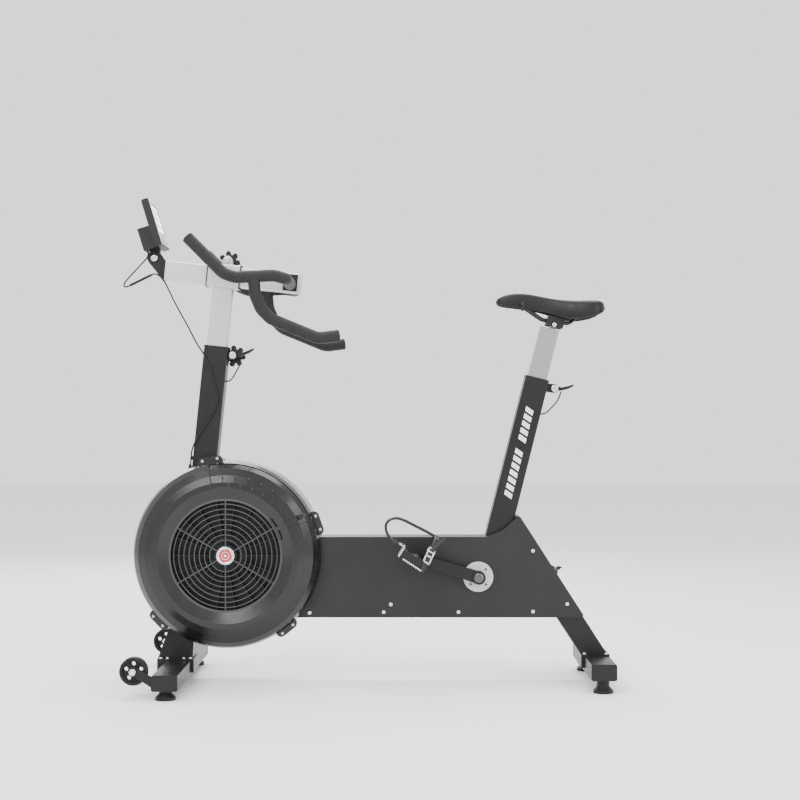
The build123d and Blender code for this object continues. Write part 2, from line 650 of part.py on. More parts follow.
DROP = [(-289.4, 205, 1014), (-286, 205, 985), (-272, 205, 952), (-248, 205, 928), (-131, 205, 880),
        (-81.5, 205, 886)]


def make_drop(side):
    """A drop bar, welded under the side run and bent back to its grip."""
    drop = round_bar([(-290.5, 205, 1030)] + DROP[1:], [40, 40, 40, 45], BAR_RADIUS, BAR_BORE)
    solid = round_bar(HALF_BAR, [30, 30, 60, 60, 45], BAR_RADIUS)
    drop -= solid
    drop = max(drop.solids(), key=lambda piece: piece.volume)
    return drop if side > 0 else mirrored(drop)


def make_star_knob(place, u, w, y_low):
    """A seven-lobed star knob on a stud."""
    knob = local_pin(place, u, w, 19, y_low, y_low + 16)
    for step in range(7):
        lobe_u, lobe_w = polar(21.5, 360 / 7 * step, u, w)
        knob += local_pin(place, lobe_u, lobe_w, 7, y_low, y_low + 16)
    knob += local_pin(place, u, w, 12, y_low + 16, y_low + 24)
    return knob - local_pin(place, u, w, 4 + HINGE_FIT, y_low - 1, y_low + 22)


# ---- monitor ------------------------------------------------------------------------------------
TILT_U, TILT_W = -183.5, 28.2


def make_monitor_bracket():
    """The plug in the beam's front end and the two cheeks that carry the monitor's tilt bolt."""
    bracket = BEAM * block((BEAM_FRONT, BEAM_FRONT + 20), (-22, 22), (-22, 22))
    bracket += BEAM * block((BEAM_FRONT - 5, BEAM_FRONT), (-25, 25), (-25, 25))
    arms = make_hull((Pos(TILT_U, TILT_W) * Circle(18.5)).edges()
                     + (Pos(BEAM_FRONT - 5, 0) * Rectangle(2, 48)).edges())
    cheek = arms - Pos(BEAM_FRONT, 0) * Rectangle(10, 60)
    for side in (-1, 1):
        bracket += local_plate(BEAM, cheek, *sorted((side * 12, side * 16)))
    bracket += local_pin(BEAM, TILT_U, TILT_W, 4, -17, 17)
    for side in (-1, 1):
        bracket += local_pin(BEAM, TILT_U, TILT_W, 9, *sorted((side * 16, side * 20)))
    return bracket


def monitor_tilt_point():
    place = BEAM * Pos(TILT_U, 0, TILT_W)
    return place.position.X, place.position.Z


def make_monitor_case():
    """The monitor: a slim case with a recessed face, the battery box behind it and the tilt lug."""
    face = Pos(0, 4) * RectangleRounded(20, 124, 5)
    case = MONITOR * plate(face, -70, 70)
    case -= MONITOR * block((8.4, 20), (-58, 58), (-25, 55))
    for y in (-BUTTON_Y, BUTTON_Y):
        case -= MONITOR * Pos(7, y, BUTTON_W) * Rot(0, 90, 0) * Cylinder(9.2, 14)
    box = MONITOR * block((-43.5, -9), (-46, 46), (-57, 1.3))
    x, z = monitor_tilt_point()
    arm = plate(outline([(x - 10, z - 3), (x - 14, z + 30), (x + 16, z + 36), (x + 9, z - 3)]), -11.6, 11.6)
    lug = pin(x, z, 11, -11.6, 11.6) + arm
    case = case + box + lug
    return case - pin(x, z, 4 + HINGE_FIT, -12, 12)


def make_button(y):
    """A round key in the monitor's face."""
    return MONITOR * Pos(6.6, y, BUTTON_W) * Rot(0, 90, 0) * Cylinder(9.0, 8.6)


# ---- sensor lead --------------------------------------------------------------------------------
PIGTAIL = [(-583, -3, 1114.6), (-581, -3, 1104.6), (-597, -5, 1086), (-614, -8, 1067), (-632, -11, 1047),
           (-643, -13, 1033), (-643.5, -14.3, 1023), (-635, -15.5, 1023.3), (-626, -17, 1027.5)]
CONNECTOR = ((-626, -17, 1027.5), (-571, -26, 1053))
UPPER_LEAD = [(-571, -26, 1053), (-561, -27.6, 1057.6), (-548, -31, 1050), (-536, -32, 1036), (-525, -33, 1015),
              (-513, -33.5, 989), (-498, -34, 961), (-484, -34, 936)]
LOWER_LEAD = [(-484, -34, 936), (-471.8, -34, 914.2), (-454, -34, 878), (-434, -34, 849), (-416, -34.5, 815),
              (-408, -35, 784), (-398.5, -35, 753), (-397, -35, 724), (-409, -35.5, 699), (-428, -36.5, 666),
              (-450, -38, 635), (-463, -39, 607), (-467, -39, 583), (-467.5, -39, 555.8)]


def lead_radii(points):
    """The largest even arc at each corner of a lead's route."""
    radii = []
    for before, corner, after in zip(points, points[1:], points[2:]):
        first, second = Vector(*corner) - Vector(*before), Vector(*after) - Vector(*corner)
        turn = first.get_angle(second)
        radii.append(0.45 * min(first.length, second.length) / tan(radians(turn / 2)))
    return radii


def make_lead(name, points):
    radii = lead_radii(points)
    tube = round_bar(points, radii, LEAD_RADIUS)
    length = FilletPolyline(*points, radius=radii).length
    section = pi * LEAD_RADIUS**2
    print(name, "length", round(length, 1), "radii", [round(radius) for radius in radii],
          "volume ratio", round(tube.volume / (section * length), 4))
    return tube


def make_connector():
    """The plug-and-socket sleeve between the two stretches of the lead."""
    start, end = Vector(*CONNECTOR[0]), Vector(*CONNECTOR[1])
    length = (end - start).length
    return Plane(origin=start, z_dir=end - start).location * Pos(0, 0, length / 2) * Cylinder(3.4, length)


# ---- write everything ---------------------------------------------------------------------------
def main():
    os.makedirs("parts", exist_ok=True)
    save("front_beam", make_beam(FRONT_BEAM, True))
    save("rear_beam", make_beam(REAR_BEAM, False))
    save("end_caps", Compound(children=make_end_caps()))
    save("front_leg", make_front_leg())
    save("rear_leg", make_rear_leg())
    save("drive_frame", make_drive_frame())
    save("left_cover", make_cover(-1))
    save("right_cover", make_cover(1))
    save("bearing_covers", Compound(children=make_bearing_covers()))
    save("seat_tube", make_seat_tube())
    save("front_post", make_front_post())
    save("tube_bushings", Compound(children=[make_bushing(POST), make_bushing(SEAT)]))
    save("fan_drum", make_fan_drum())
    save("fan_cover", make_fan_cover())
    save("fan_grille", make_fan_grille())
    belts = [make_belt((CRANK_X, CRANK_Z, CRANK_PULLEY), (JACK_X, JACK_Z, JACK_SMALL), BELT_NEAR),
             make_belt((JACK_X, JACK_Z, JACK_LARGE), (FAN_X, FAN_Z, FAN_PULLEY), BELT_FAR)]
    save("drive_belts", Compound(children=belts))
    save("fan_wheel", make_fan_wheel())
    save("fan_shaft", make_fan_shaft())
    save("damper_lever", make_damper_lever())
    save("crank_axle", make_crank_axle())
    save("jackshaft", make_jackshaft())
    for side, name in ((-1, "left"), (1, "right")):
        save(f"{name}_crank_arm", make_crank_arm(side))
        save(f"{name}_pedal_body", make_pedal_body(side))
        save(f"{name}_pedal_cage", make_pedal_cage(side))
        save(f"{name}_toe_clip", make_toe_clip(side))
        save(f"{name}_wheel", make_wheel(side))
        save(f"front_{name}_foot", make_foot(FRONT_BEAM, side))
        save(f"rear_{name}_foot", make_foot(REAR_BEAM, side))
    save("seat_post", make_seat_post())
    rails = make_saddle_rails()
    save("saddle_rails", Compound(children=rails))
    save("saddle_clamp", make_saddle_clamp(rails))
    save("saddle_pad", make_saddle_pad(rails))
    save("seat_lever", make_lever(SEAT, *SEAT_PIVOT, 96, 4.9))
    save("seat_latch_spring", make_latch_spring(SEAT, *SEAT_PIVOT, -84))
    save("handlebar_post", make_handlebar_post())
    save("sleeve_bushings", Compound(children=make_sleeve_bushings()))
    save("post_lever", make_lever(POST, *POST_PIVOT, 94, 2.8))
    save("post_latch_spring", make_latch_spring(POST, *POST_PIVOT, -84))
    save("post_knob", make_star_knob(POST, *POST_PIVOT, KNOB_Y))
    save("reach_knob", make_star_knob(BEAM, 5, 43, KNOB_Y))
    save("beam_tube", make_beam_tube())
    save("bar_clamp", make_bar_clamp())
    save("handlebar", make_handlebar())
    save("left_drop", make_drop(-1))
    save("right_drop", make_drop(1))
    save("monitor_bracket", make_monitor_bracket())
    save("monitor_case", make_monitor_case())
    for name, y in (("left", -BUTTON_Y), ("right", BUTTON_Y)):
        save(f"{name}_button", make_button(y))
    save("sensor_pigtail", make_lead("pigtail", PIGTAIL))
    save("lead_connector", make_connector())
    save("upper_lead", make_lead("upper lead", UPPER_LEAD))
    save("lower_lead", make_lead("lower lead", LOWER_LEAD))


main()
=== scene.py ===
import math

import bmesh
import bpy
from mathutils import Matrix, Vector


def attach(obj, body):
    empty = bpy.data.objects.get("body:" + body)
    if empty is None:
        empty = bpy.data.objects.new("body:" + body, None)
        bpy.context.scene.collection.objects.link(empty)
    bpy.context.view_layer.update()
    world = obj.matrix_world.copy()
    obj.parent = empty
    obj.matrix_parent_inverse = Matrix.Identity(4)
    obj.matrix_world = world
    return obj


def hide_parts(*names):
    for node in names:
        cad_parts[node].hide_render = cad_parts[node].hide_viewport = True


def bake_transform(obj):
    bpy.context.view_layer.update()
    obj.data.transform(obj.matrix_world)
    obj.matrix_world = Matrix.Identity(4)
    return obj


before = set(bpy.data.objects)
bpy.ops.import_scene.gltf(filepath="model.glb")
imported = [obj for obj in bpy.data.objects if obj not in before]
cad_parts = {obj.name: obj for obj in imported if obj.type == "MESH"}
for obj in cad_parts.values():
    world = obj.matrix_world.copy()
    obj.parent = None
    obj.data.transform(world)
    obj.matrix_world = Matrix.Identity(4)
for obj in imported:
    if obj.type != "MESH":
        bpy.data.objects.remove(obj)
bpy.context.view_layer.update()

# Everything is in metres in the CAD's frame: +Z up, the rider faces -X, the left side is -Y.

# ---- places shared with the CAD ------------------------------------------------------------------
def leaning_place(x, z, lean):
    """A place in the middle plane whose local z axis leans towards +X by lean degrees."""
    return Matrix.Translation((x, 0, z)) @ Matrix.Rotation(math.radians(lean), 4, "Y")


POST = leaning_place(-0.4031, 0.866, 5.8)
SEAT = leaning_place(0.4259, 0.7838, 14.1)
BEAM = POST @ Matrix.Translation((0, 0, 0.186))
MONITOR = leaning_place(-0.5625, 1.181, -17.0)
FAN = Matrix.Translation((-0.3705, 0, 0.3345))
CRANK = Vector((0.2725, 0, 0.276))
CRANK_LENGTH = 0.170
CRANK_ANGLE = math.radians(17.5)
PEDAL_TILT = 33.0
COVER_FACE = 0.048
SCALE_START, SCALE_PITCH = 35, 9.5
SEAT_PIVOT = (0.0499, -0.0117)
POST_PIVOT = (0.0435, -0.0157)


def pedal_place(side):
    """A pedal's place: local x to the toe, local z up through the sole."""
    x = CRANK.x + side * CRANK_LENGTH * math.cos(CRANK_ANGLE)
    z = CRANK.z - side * CRANK_LENGTH * math.sin(CRANK_ANGLE)
    turn = Matrix.Rotation(math.radians(PEDAL_TILT), 4, "Y") @ Matrix.Rotation(math.pi, 4, "Z")
    return Matrix.Translation((x, 0, z)) @ turn


# ---- camera, light and floor ---------------------------------------------------------------------
def make_camera():
    """Square on to the left side, at the height of the fan's top."""
    data = bpy.data.cameras.new("camera")
    data.lens, data.sensor_width = 70.97, 36.0
    data.shift_x, data.shift_y = 0.0025, 0.03125
    camera = bpy.data.objects.new("camera", data)
    camera.location = (0.0665, -4.1, 0.6656)
    camera.rotation_euler = (math.radians(90), 0, 0)
    bpy.context.scene.collection.objects.link(camera)
    bpy.context.scene.camera = camera


def make_light(name, place, target, size, power):
    data = bpy.data.lights.new(name, "AREA")
    data.shape, data.size, data.size_y, data.energy = "RECTANGLE", size[0], size[1], power
    light = bpy.data.objects.new(name, data)
    light.location = place
    light.rotation_euler = (Vector(target) - Vector(place)).to_track_quat("-Z", "Y").to_euler()
    bpy.context.scene.collection.objects.link(light)


def make_studio():
    """A white floor with a soft key light, two side lights and a bright surround."""
    mesh = bpy.data.meshes.new("floor")
    half = 14.0
    corners = [(-half, -half, 0), (half, -half, 0), (half, half, 0), (-half, half, 0)]
    mesh.from_pydata(corners, [], [(0, 1, 2, 3)])
    floor = bpy.data.objects.new("floor", mesh)
    bpy.context.scene.collection.objects.link(floor)
    floor.data.materials.append(plain_floor())
    world = bpy.data.worlds.new("studio")
    world.use_nodes = True
    world.node_tree.nodes["Background"].inputs["Color"].default_value = (1, 1, 1, 1)
    world.node_tree.nodes["Background"].inputs["Strength"].default_value = 1.6
    bpy.context.scene.world = world
    make_light("key", (-1.6, -3.2, 3.4), (0, 0, 0.5), (2.4, 2.4), 150)
    make_light("fill", (2.6, -2.6, 1.8), (0.1, 0, 0.5), (1.6, 2.2), 70)
    make_light("top", (0.2, 0.6, 3.6), (0, 0, 0.5), (3.0, 1.6), 110)
    make_light("back", (-1.0, 3.2, 2.2), (0, 0, 0.6), (2.2, 1.6), 70)


# ---- materials -----------------------------------------------------------------------------------
class Shader:
    """A node material on a Principled shader, built up a layer at a time."""

    def __init__(self, name, color, roughness, metallic=0.0, **sockets):
        self.material = bpy.data.materials.new(name)
        self.material.use_nodes = True
        self.nodes = self.material.node_tree.nodes
        self.links = self.material.node_tree.links
        self.shader = self.nodes["Principled BSDF"]
        self.color, self.roughness = color, roughness
        self.shader.inputs["Base Color"].default_value = (*color, 1)
        self.shader.inputs["Roughness"].default_value = roughness
        self.shader.inputs["Metallic"].default_value = metallic
        for socket, value in sockets.items():
            self.shader.inputs[socket.replace("_", " ")].default_value = value
        self.place = self.nodes.new("ShaderNodeTexCoord").outputs["Object"]
        self.height = None
        self.tint = None

    def noise(self, scale, detail=3.0, stretch=None, rough=0.55):
        """A noise in the object's own metres, stretched along an axis if asked."""
        node = self.nodes.new("ShaderNodeTexNoise")
        node.inputs["Scale"].default_value = scale
        node.inputs["Detail"].default_value = detail
        node.inputs["Roughness"].default_value = rough
        source = self.place
        if stretch:
            mapping = self.nodes.new("ShaderNodeMapping")
            mapping.inputs["Scale"].default_value = stretch
            self.links.new(self.place, mapping.inputs["Vector"])
            source = mapping.outputs["Vector"]
        self.links.new(source, node.inputs["Vector"])
        return node.outputs["Fac"]

    def cells(self, scale, feature="DISTANCE_TO_EDGE"):
        node = self.nodes.new("ShaderNodeTexVoronoi")
        node.feature = feature
        node.inputs["Scale"].default_value = scale
        self.links.new(self.place, node.inputs["Vector"])
        return node.outputs["Distance"]

    def waves(self, scale, direction, stretch=(1, 1, 1)):
        node = self.nodes.new("ShaderNodeTexWave")
        node.bands_direction = direction
        node.inputs["Scale"].default_value = scale
        mapping = self.nodes.new("ShaderNodeMapping")
        mapping.inputs["Scale"].default_value = stretch
        self.links.new(self.place, mapping.inputs["Vector"])
        self.links.new(mapping.outputs["Vector"], node.inputs["Vector"])
        return node.outputs["Fac"]

    def spread(self, source, low, high, start=0.3, end=0.7):
        """Map a 0 to 1 pattern onto a range."""
        node = self.nodes.new("ShaderNodeMapRange")
        node.inputs["From Min"].default_value, node.inputs["From Max"].default_value = start, end
        node.inputs["To Min"].default_value, node.inputs["To Max"].default_value = low, high
        self.links.new(source, node.inputs["Value"])
        return node.outputs["Result"]

    def vary_color(self, source, other, start=0.35, end=0.65):
        """Blend the base colour towards another one where the pattern is high."""
        mix = self.nodes.new("ShaderNodeMix")
        mix.data_type = "RGBA"
        factor, first, second, result = mix.inputs[0], mix.inputs[6], mix.inputs[7], mix.outputs[2]
        first.default_value, second.default_value = (*self.color, 1), (*other, 1)
        if self.tint:
            self.links.new(self.tint, first)
        self.tint = result
        self.links.new(self.spread(source, 0, 1, start, end), factor)
        self.links.new(result, self.shader.inputs["Base Color"])
        return self

    def beyond(self, place, depth):
        """A mask that is 1 where the surface lies further than depth along a place's local x axis."""
        axis = (place.to_3x3() @ Vector((1, 0, 0))).normalized()
        dot = self.nodes.new("ShaderNodeVectorMath")
        dot.operation = "DOT_PRODUCT"
        dot.inputs[1].default_value = axis
        self.links.new(self.place, dot.inputs[0])
        step = self.nodes.new("ShaderNodeMath")
        step.operation = "GREATER_THAN"
        step.inputs[1].default_value = axis.dot(place.translation) + depth
        self.links.new(dot.outputs["Value"], step.inputs[0])
        return step.outputs[0]

    def vary_roughness(self, source, amount):
        low, high = self.roughness - amount, self.roughness + amount
        self.links.new(self.spread(source, low, high), self.shader.inputs["Roughness"])
        return self

    def bump(self, source, distance, strength=1.0):
        """Add a layer of relief, distance metres deep."""
        node = self.nodes.new("ShaderNodeBump")
        node.inputs["Distance"].default_value = distance
        node.inputs["Strength"].default_value = strength
        self.links.new(source, node.inputs["Height"])
        if self.height:
            self.links.new(self.height, node.inputs["Normal"])
        self.height = node.outputs["Normal"]
        self.links.new(self.height, self.shader.inputs["Normal"])
        return self


def lighter(color, factor):
    return tuple(min(1.0, channel * factor) for channel in color)


def plain_floor():
    floor = Shader("floor_white", (0.9, 0.9, 0.9), 0.85)
    floor.vary_roughness(floor.noise(6), 0.05)
    return floor.material


def powder_coat(name="powder_coat", color=(0.0055, 0.0055, 0.006)):
    """Satin powder coat: orange peel under a thin even gloss."""
    coat = Shader(name, color, 0.36, Specular_IOR_Level=0.28)
    coat.vary_color(coat.noise(5, 4), lighter(color, 1.5))
    coat.vary_roughness(coat.noise(60), 0.06)
    return coat.bump(coat.noise(900, 2), 0.00006).bump(coat.noise(3200, 1), 0.00002).material


def grained_plastic(name, color, roughness=0.5):
    """Moulded plastic with a spark-eroded grain."""
    plastic = Shader(name, color, roughness, Specular_IOR_Level=0.28)
    plastic.vary_color(plastic.noise(8, 4), lighter(color, 1.25))
    plastic.vary_roughness(plastic.noise(150), 0.07)
    return plastic.bump(plastic.noise(2200, 3), 0.00004).material


def monitor_plastic():
    """The monitor's dark grained body, with a pale grey front face."""
    case = Shader("monitor_plastic", (0.008, 0.008, 0.009), 0.45, Specular_IOR_Level=0.28)
    case.vary_color(case.noise(8, 4), (0.011, 0.011, 0.012))
    case.vary_color(case.beyond(MONITOR, 0.0094), (0.40, 0.41, 0.42))
    case.vary_roughness(case.noise(150), 0.07)
    return case.bump(case.noise(1800, 3), 0.00003).material


def gloss_plastic(name, color, roughness=0.2):
    """Polished moulded plastic: slight waviness and faint handling marks."""
    plastic = Shader(name, color, roughness, Specular_IOR_Level=0.4, Coat_Weight=0.06, Coat_Roughness=0.1)
    plastic.vary_color(plastic.noise(4, 3), lighter(color, 1.4))
    plastic.vary_roughness(plastic.noise(35, 5), 0.07)
    return plastic.bump(plastic.noise(28, 2), 0.00025, 0.5).bump(plastic.noise(1500), 0.00002).material


def brushed_metal(name, color, roughness, stretch, metallic=0.85):
    """Satin drawn metal, with fine streaks along the stretch's short axis."""
    metal = Shader(name, color, roughness, metallic)
    metal.vary_color(metal.noise(160, 4, stretch), lighter(color, 0.9))
    metal.vary_roughness(metal.noise(300, 3, stretch), 0.07)
    return metal.bump(metal.noise(900, 2, stretch), 0.00003).material


def polished_metal(name, color=(0.78, 0.78, 0.79), roughness=0.16):
    metal = Shader(name, color, roughness, metallic=1.0)
    metal.vary_color(metal.noise(90), lighter(color, 0.85))
    metal.vary_roughness(metal.noise(220, 4), 0.06)
    return metal.bump(metal.noise(700), 0.00002).material


def soft_rubber(name, color, roughness=0.62, grain=1400, depth=0.00012):
    """Dipped or moulded rubber: matte, faintly pebbled and slightly dusty."""
    rubber = Shader(name, color, roughness, Specular_IOR_Level=0.25, Sheen_Weight=0.03, Sheen_Roughness=0.5)
    rubber.vary_color(rubber.noise(7, 4), lighter(color, 1.3))
    rubber.vary_roughness(rubber.noise(90, 4), 0.08)
    return rubber.bump(rubber.noise(grain, 3), depth).material


def saddle_leather():
    """Fine pebbled synthetic leather, a little shinier where it is sat on."""
    leather = Shader("saddle_leather", (0.0045, 0.0045, 0.005), 0.42, Specular_IOR_Level=0.25)
    leather.vary_color(leather.noise(14, 4), (0.008, 0.008, 0.0085))
    leather.vary_roughness(leather.noise(30, 3), 0.1)
    return leather.bump(leather.cells(620), 0.0002).bump(leather.noise(2600), 0.00005).material


def strap_weave():
    """A coated strap with a fine cross weave pressed into it."""
    strap = Shader("strap_weave", (0.006, 0.006, 0.006), 0.36, Specular_IOR_Level=0.4)
    strap.vary_color(strap.noise(30), (0.011, 0.011, 0.011))
    strap.bump(strap.waves(500, "Y"), 0.0001)
    return strap.bump(strap.waves(500, "DIAGONAL"), 0.0001).material


def screen_glass():
    """A dim, slightly glossy display with faint bands across it."""
    screen = Shader("screen_glass", (0.23, 0.26, 0.245), 0.18, Coat_Weight=0.3, Coat_Roughness=0.05)
    screen.vary_color(screen.waves(60, "Z"), (0.26, 0.29, 0.275))
    screen.vary_roughness(screen.noise(40), 0.04)
    return screen.bump(screen.noise(500), 0.00001).material


def enamel(name, color):
    paint = Shader(name, color, 0.28, Coat_Weight=0.5, Coat_Roughness=0.1)
    paint.vary_color(paint.noise(120), lighter(color, 0.85))
    paint.vary_roughness(paint.noise(200), 0.05)
    return paint.bump(paint.noise(1200), 0.00002).material


def decal_film():
    film = Shader("decal_film", (0.82, 0.82, 0.82), 0.4)
    film.vary_color(film.noise(60, 5), (0.7, 0.7, 0.7))
    film.vary_roughness(film.noise(200), 0.05)
    return film.bump(film.noise(1500), 0.00002).material


MATERIALS = {
    "powder": powder_coat(),
    "cover": grained_plastic("cover_plastic", (0.011, 0.011, 0.012), 0.44),
    "fan_gloss": gloss_plastic("fan_plastic", (0.0045, 0.0045, 0.005), 0.24),
    "matte_black": grained_plastic("black_plastic", (0.006, 0.006, 0.0065), 0.48),
    "monitor": monitor_plastic(),
    "knob": gloss_plastic("knob_plastic", (0.0035, 0.0035, 0.0035), 0.2),
    "grey_disc": grained_plastic("grey_plastic", (0.42, 0.42, 0.41), 0.42),
    "wire": powder_coat("wire_coat", (0.035, 0.035, 0.036)),
    "fan_sheet": brushed_metal("fan_sheet", (0.012, 0.012, 0.013), 0.6, (1, 1, 8), 0.2),
    "steel": polished_metal("turned_steel", (0.5, 0.5, 0.51), 0.3),
    "chrome": polished_metal("chrome_bolts"),
    "silver": brushed_metal("silver_tube", (0.60, 0.60, 0.61), 0.34, (10, 10, 1)),
    # The seat post's copy of the silver tube, its colour darkened as painted shade.
    "shaded_silver": brushed_metal("silver_post_painted_shade", (0.33, 0.32, 0.32), 0.42, (10, 10, 1)),
    "silver_beam": brushed_metal("silver_beam", (0.63, 0.63, 0.64), 0.34, (1, 10, 10)),
    "grip": soft_rubber("grip_rubber", (0.010, 0.010, 0.011), 0.6),
    "tyre": soft_rubber("tyre_rubber", (0.006, 0.006, 0.006), 0.55, 900),
    "foot": soft_rubber("foot_rubber", (0.005, 0.005, 0.005), 0.5, 1100),
    "belt": soft_rubber("belt_rubber", (0.006, 0.006, 0.006), 0.7, 1100),
    "jacket": soft_rubber("lead_jacket", (0.006, 0.006, 0.006), 0.42, 1600, 0.00004),
    "leather": saddle_leather(),
    "strap": strap_weave(),
    "screen": screen_glass(),
    "red": enamel("badge_red", (0.45, 0.012, 0.02)),
    "white": decal_film(),
    "key": grained_plastic("key_plastic", (0.30, 0.31, 0.32), 0.5),
    "spring": polished_metal("spring_steel", (0.12, 0.12, 0.12), 0.35),
}

NODE_MATERIALS = {
    "powder": ["front_beam", "rear_beam", "front_leg", "rear_leg", "drive_frame", "seat_tube", "front_post",
               "left_crank_arm", "right_crank_arm", "saddle_rails"],
    "cover": ["left_cover", "right_cover"],
    "fan_gloss": ["fan_drum", "fan_cover", "damper_lever"],
    "matte_black": ["end_caps", "tube_bushings", "sleeve_bushings", "bar_clamp", "monitor_bracket",
                    "saddle_clamp", "left_pedal_body", "right_pedal_body"],
    "monitor": ["monitor_case"],
    "knob": ["post_knob", "reach_knob", "seat_lever", "post_lever"],
    "grey_disc": ["bearing_covers"],
    "wire": ["fan_grille"],
    "fan_sheet": ["fan_wheel"],
    "steel": ["fan_shaft", "jackshaft", "crank_axle"],
    "silver": ["handlebar_post"],
    # The seat post takes the silver tube with painted shade.
    "shaded_silver": ["seat_post"],
    "silver_beam": ["beam_tube", "left_pedal_cage", "right_pedal_cage"],
    "grip": ["handlebar", "left_drop", "right_drop"],
    "tyre": ["left_wheel", "right_wheel"],
    "foot": ["front_left_foot", "front_right_foot", "rear_left_foot", "rear_right_foot"],
    "belt": ["drive_belts"],
    "jacket": ["lead_connector"],
    "strap": ["left_toe_clip", "right_toe_clip"],
    "key": ["left_button", "right_button"],
}


def dress_nodes():
    """Give each CAD node that stays its material."""
    for key, names in NODE_MATERIALS.items():
        for name in names:
            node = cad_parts[name]
            node.data.materials.clear()
            node.data.materials.append(MATERIALS[key])


# ---- mesh helpers --------------------------------------------------------------------------------
def add_piece(name, vertices, faces, material, body, place=None, smooth=True):
    """A mesh object, moved into place and riding on a body."""
    mesh = bpy.data.meshes.new(name)
    mesh.from_pydata([tuple(v) for v in vertices], [], faces)
    if place is not None:
        mesh.transform(place)
    edit = bmesh.new()
    edit.from_mesh(mesh)
    bmesh.ops.remove_doubles(edit, verts=edit.verts, dist=0.00003)
    bmesh.ops.recalc_face_normals(edit, faces=edit.faces)
    edit.to_mesh(mesh)
    edit.free()
    mesh.materials.append(MATERIALS[material])
    mesh.update()
    piece = bpy.data.objects.new(name, mesh)
    bpy.context.scene.collection.objects.link(piece)
    for polygon in mesh.polygons:
        polygon.use_smooth = smooth
    if body:
        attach(piece, body)
    return piece


def apply_modifiers(piece):
    """Replace a piece's mesh by what its modifiers make of it."""
    graph = bpy.context.evaluated_depsgraph_get()
    made = bpy.data.meshes.new_from_object(piece.evaluated_get(graph))
    piece.modifiers.clear()
    piece.data = made


def soften(piece, width, segments=2, angle=35):
    """Round a piece's edges with a bevel."""
    bevel = piece.modifiers.new("bevel", "BEVEL")
    bevel.width, bevel.segments, bevel.limit_method = width, segments, "ANGLE"
    bevel.angle_limit = math.radians(angle)
    bevel.harden_normals = True
    return piece


def turned(profile, segments=32):
    """Vertices and faces of a (radius, height) profile turned about local z."""
    vertices, faces = [], []
    for step in range(segments):
        angle = 2 * math.pi * step / segments
        for radius, height in profile:
            vertices.append((radius * math.cos(angle), radius * math.sin(angle), height))
    count = len(profile)
    for step in range(segments):
        here, there = step * count, (step + 1) % segments * count
        for i in range(count - 1):
            faces.append((here + i, there + i, there + i + 1, here + i + 1))
    return vertices, faces


def prism(points, low, high):
    """Vertices and faces of a flat outline in local x and y, from low to high in z."""
    count = len(points)
    vertices = [(x, y, low) for x, y in points] + [(x, y, high) for x, y in points]
    faces = [tuple(reversed(range(count))), tuple(range(count, 2 * count))]
    faces += [(i, (i + 1) % count, (i + 1) % count + count, i + count) for i in range(count)]
    return vertices, faces


def joined(parts):
    """Several (vertices, faces) lists as one."""
    vertices, faces = [], []
    for more, more_faces in parts:
        start = len(vertices)
        vertices += [Vector(v) for v in more]
        faces += [tuple(i + start for i in face) for face in more_faces]
    return vertices, faces


def placed(part, place):
    vertices, faces = part
    return [place @ Vector(v) for v in vertices], faces


def facing(x, y, z, side=-1):
    """A place on the bike's side at (x, y, z) whose local z points out of that side."""
    turn = Matrix.Rotation(math.radians(90 if side < 0 else -90), 4, "X")
    return Matrix.Translation((x, y, z)) @ turn


def bolt_head(radius, height, socket=True):
    """A domed screw head with a hexagon socket sunk in it."""
    hexagon = radius * 0.5
    profile = [(radius, 0), (radius, height * 0.55), (radius * 0.86, height * 0.9), (radius * 0.68, height)]
    if socket:
        profile += [(hexagon, height), (hexagon * 0.96, height * 0.4), (0.00001, height * 0.4)]
    else:
        profile += [(0.00001, height * 1.02)]
    return turned(profile, 24)


def smooth_route(points, name):
    """The line of a NURBS curve whose control points are the route's points."""
    curve = bpy.data.curves.new(name + "_route", "CURVE")
    curve.dimensions, curve.resolution_u = "3D", 12
    spline = curve.splines.new("NURBS")
    spline.points.add(len(points) - 1)
    for point, place in zip(spline.points, points):
        point.co = (*place, 1)
    spline.order_u, spline.use_endpoint_u = 3, True
    holder = bpy.data.objects.new(name + "_route", curve)
    bpy.context.scene.collection.objects.link(holder)
    mesh = bpy.data.meshes.new_from_object(holder)
    line = [v.co.copy() for v in mesh.vertices]
    bpy.data.objects.remove(holder)
    return line


def swept(line, radius, segments=12):
    """A round tube along a line of points, closed at both ends."""
    vertices, faces = [], []
    side = Vector((0, 1, 0))
    for i, point in enumerate(line):
        ahead = line[min(i + 1, len(line) - 1)] - line[max(i - 1, 0)]
        ahead.normalize()
        side = (side - ahead * side.dot(ahead)).normalized()
        up = ahead.cross(side)
        for step in range(segments):
            angle = 2 * math.pi * step / segments
            vertices.append(point + radius * (side * math.cos(angle) + up * math.sin(angle)))
    for i in range(len(line) - 1):
        for step in range(segments):
            here, after = i * segments + step, i * segments + (step + 1) % segments
            faces.append((here, after, after + segments, here + segments))
    last = (len(line) - 1) * segments
    faces += [tuple(reversed(range(segments))), tuple(range(last, last + segments))]
    return vertices, faces


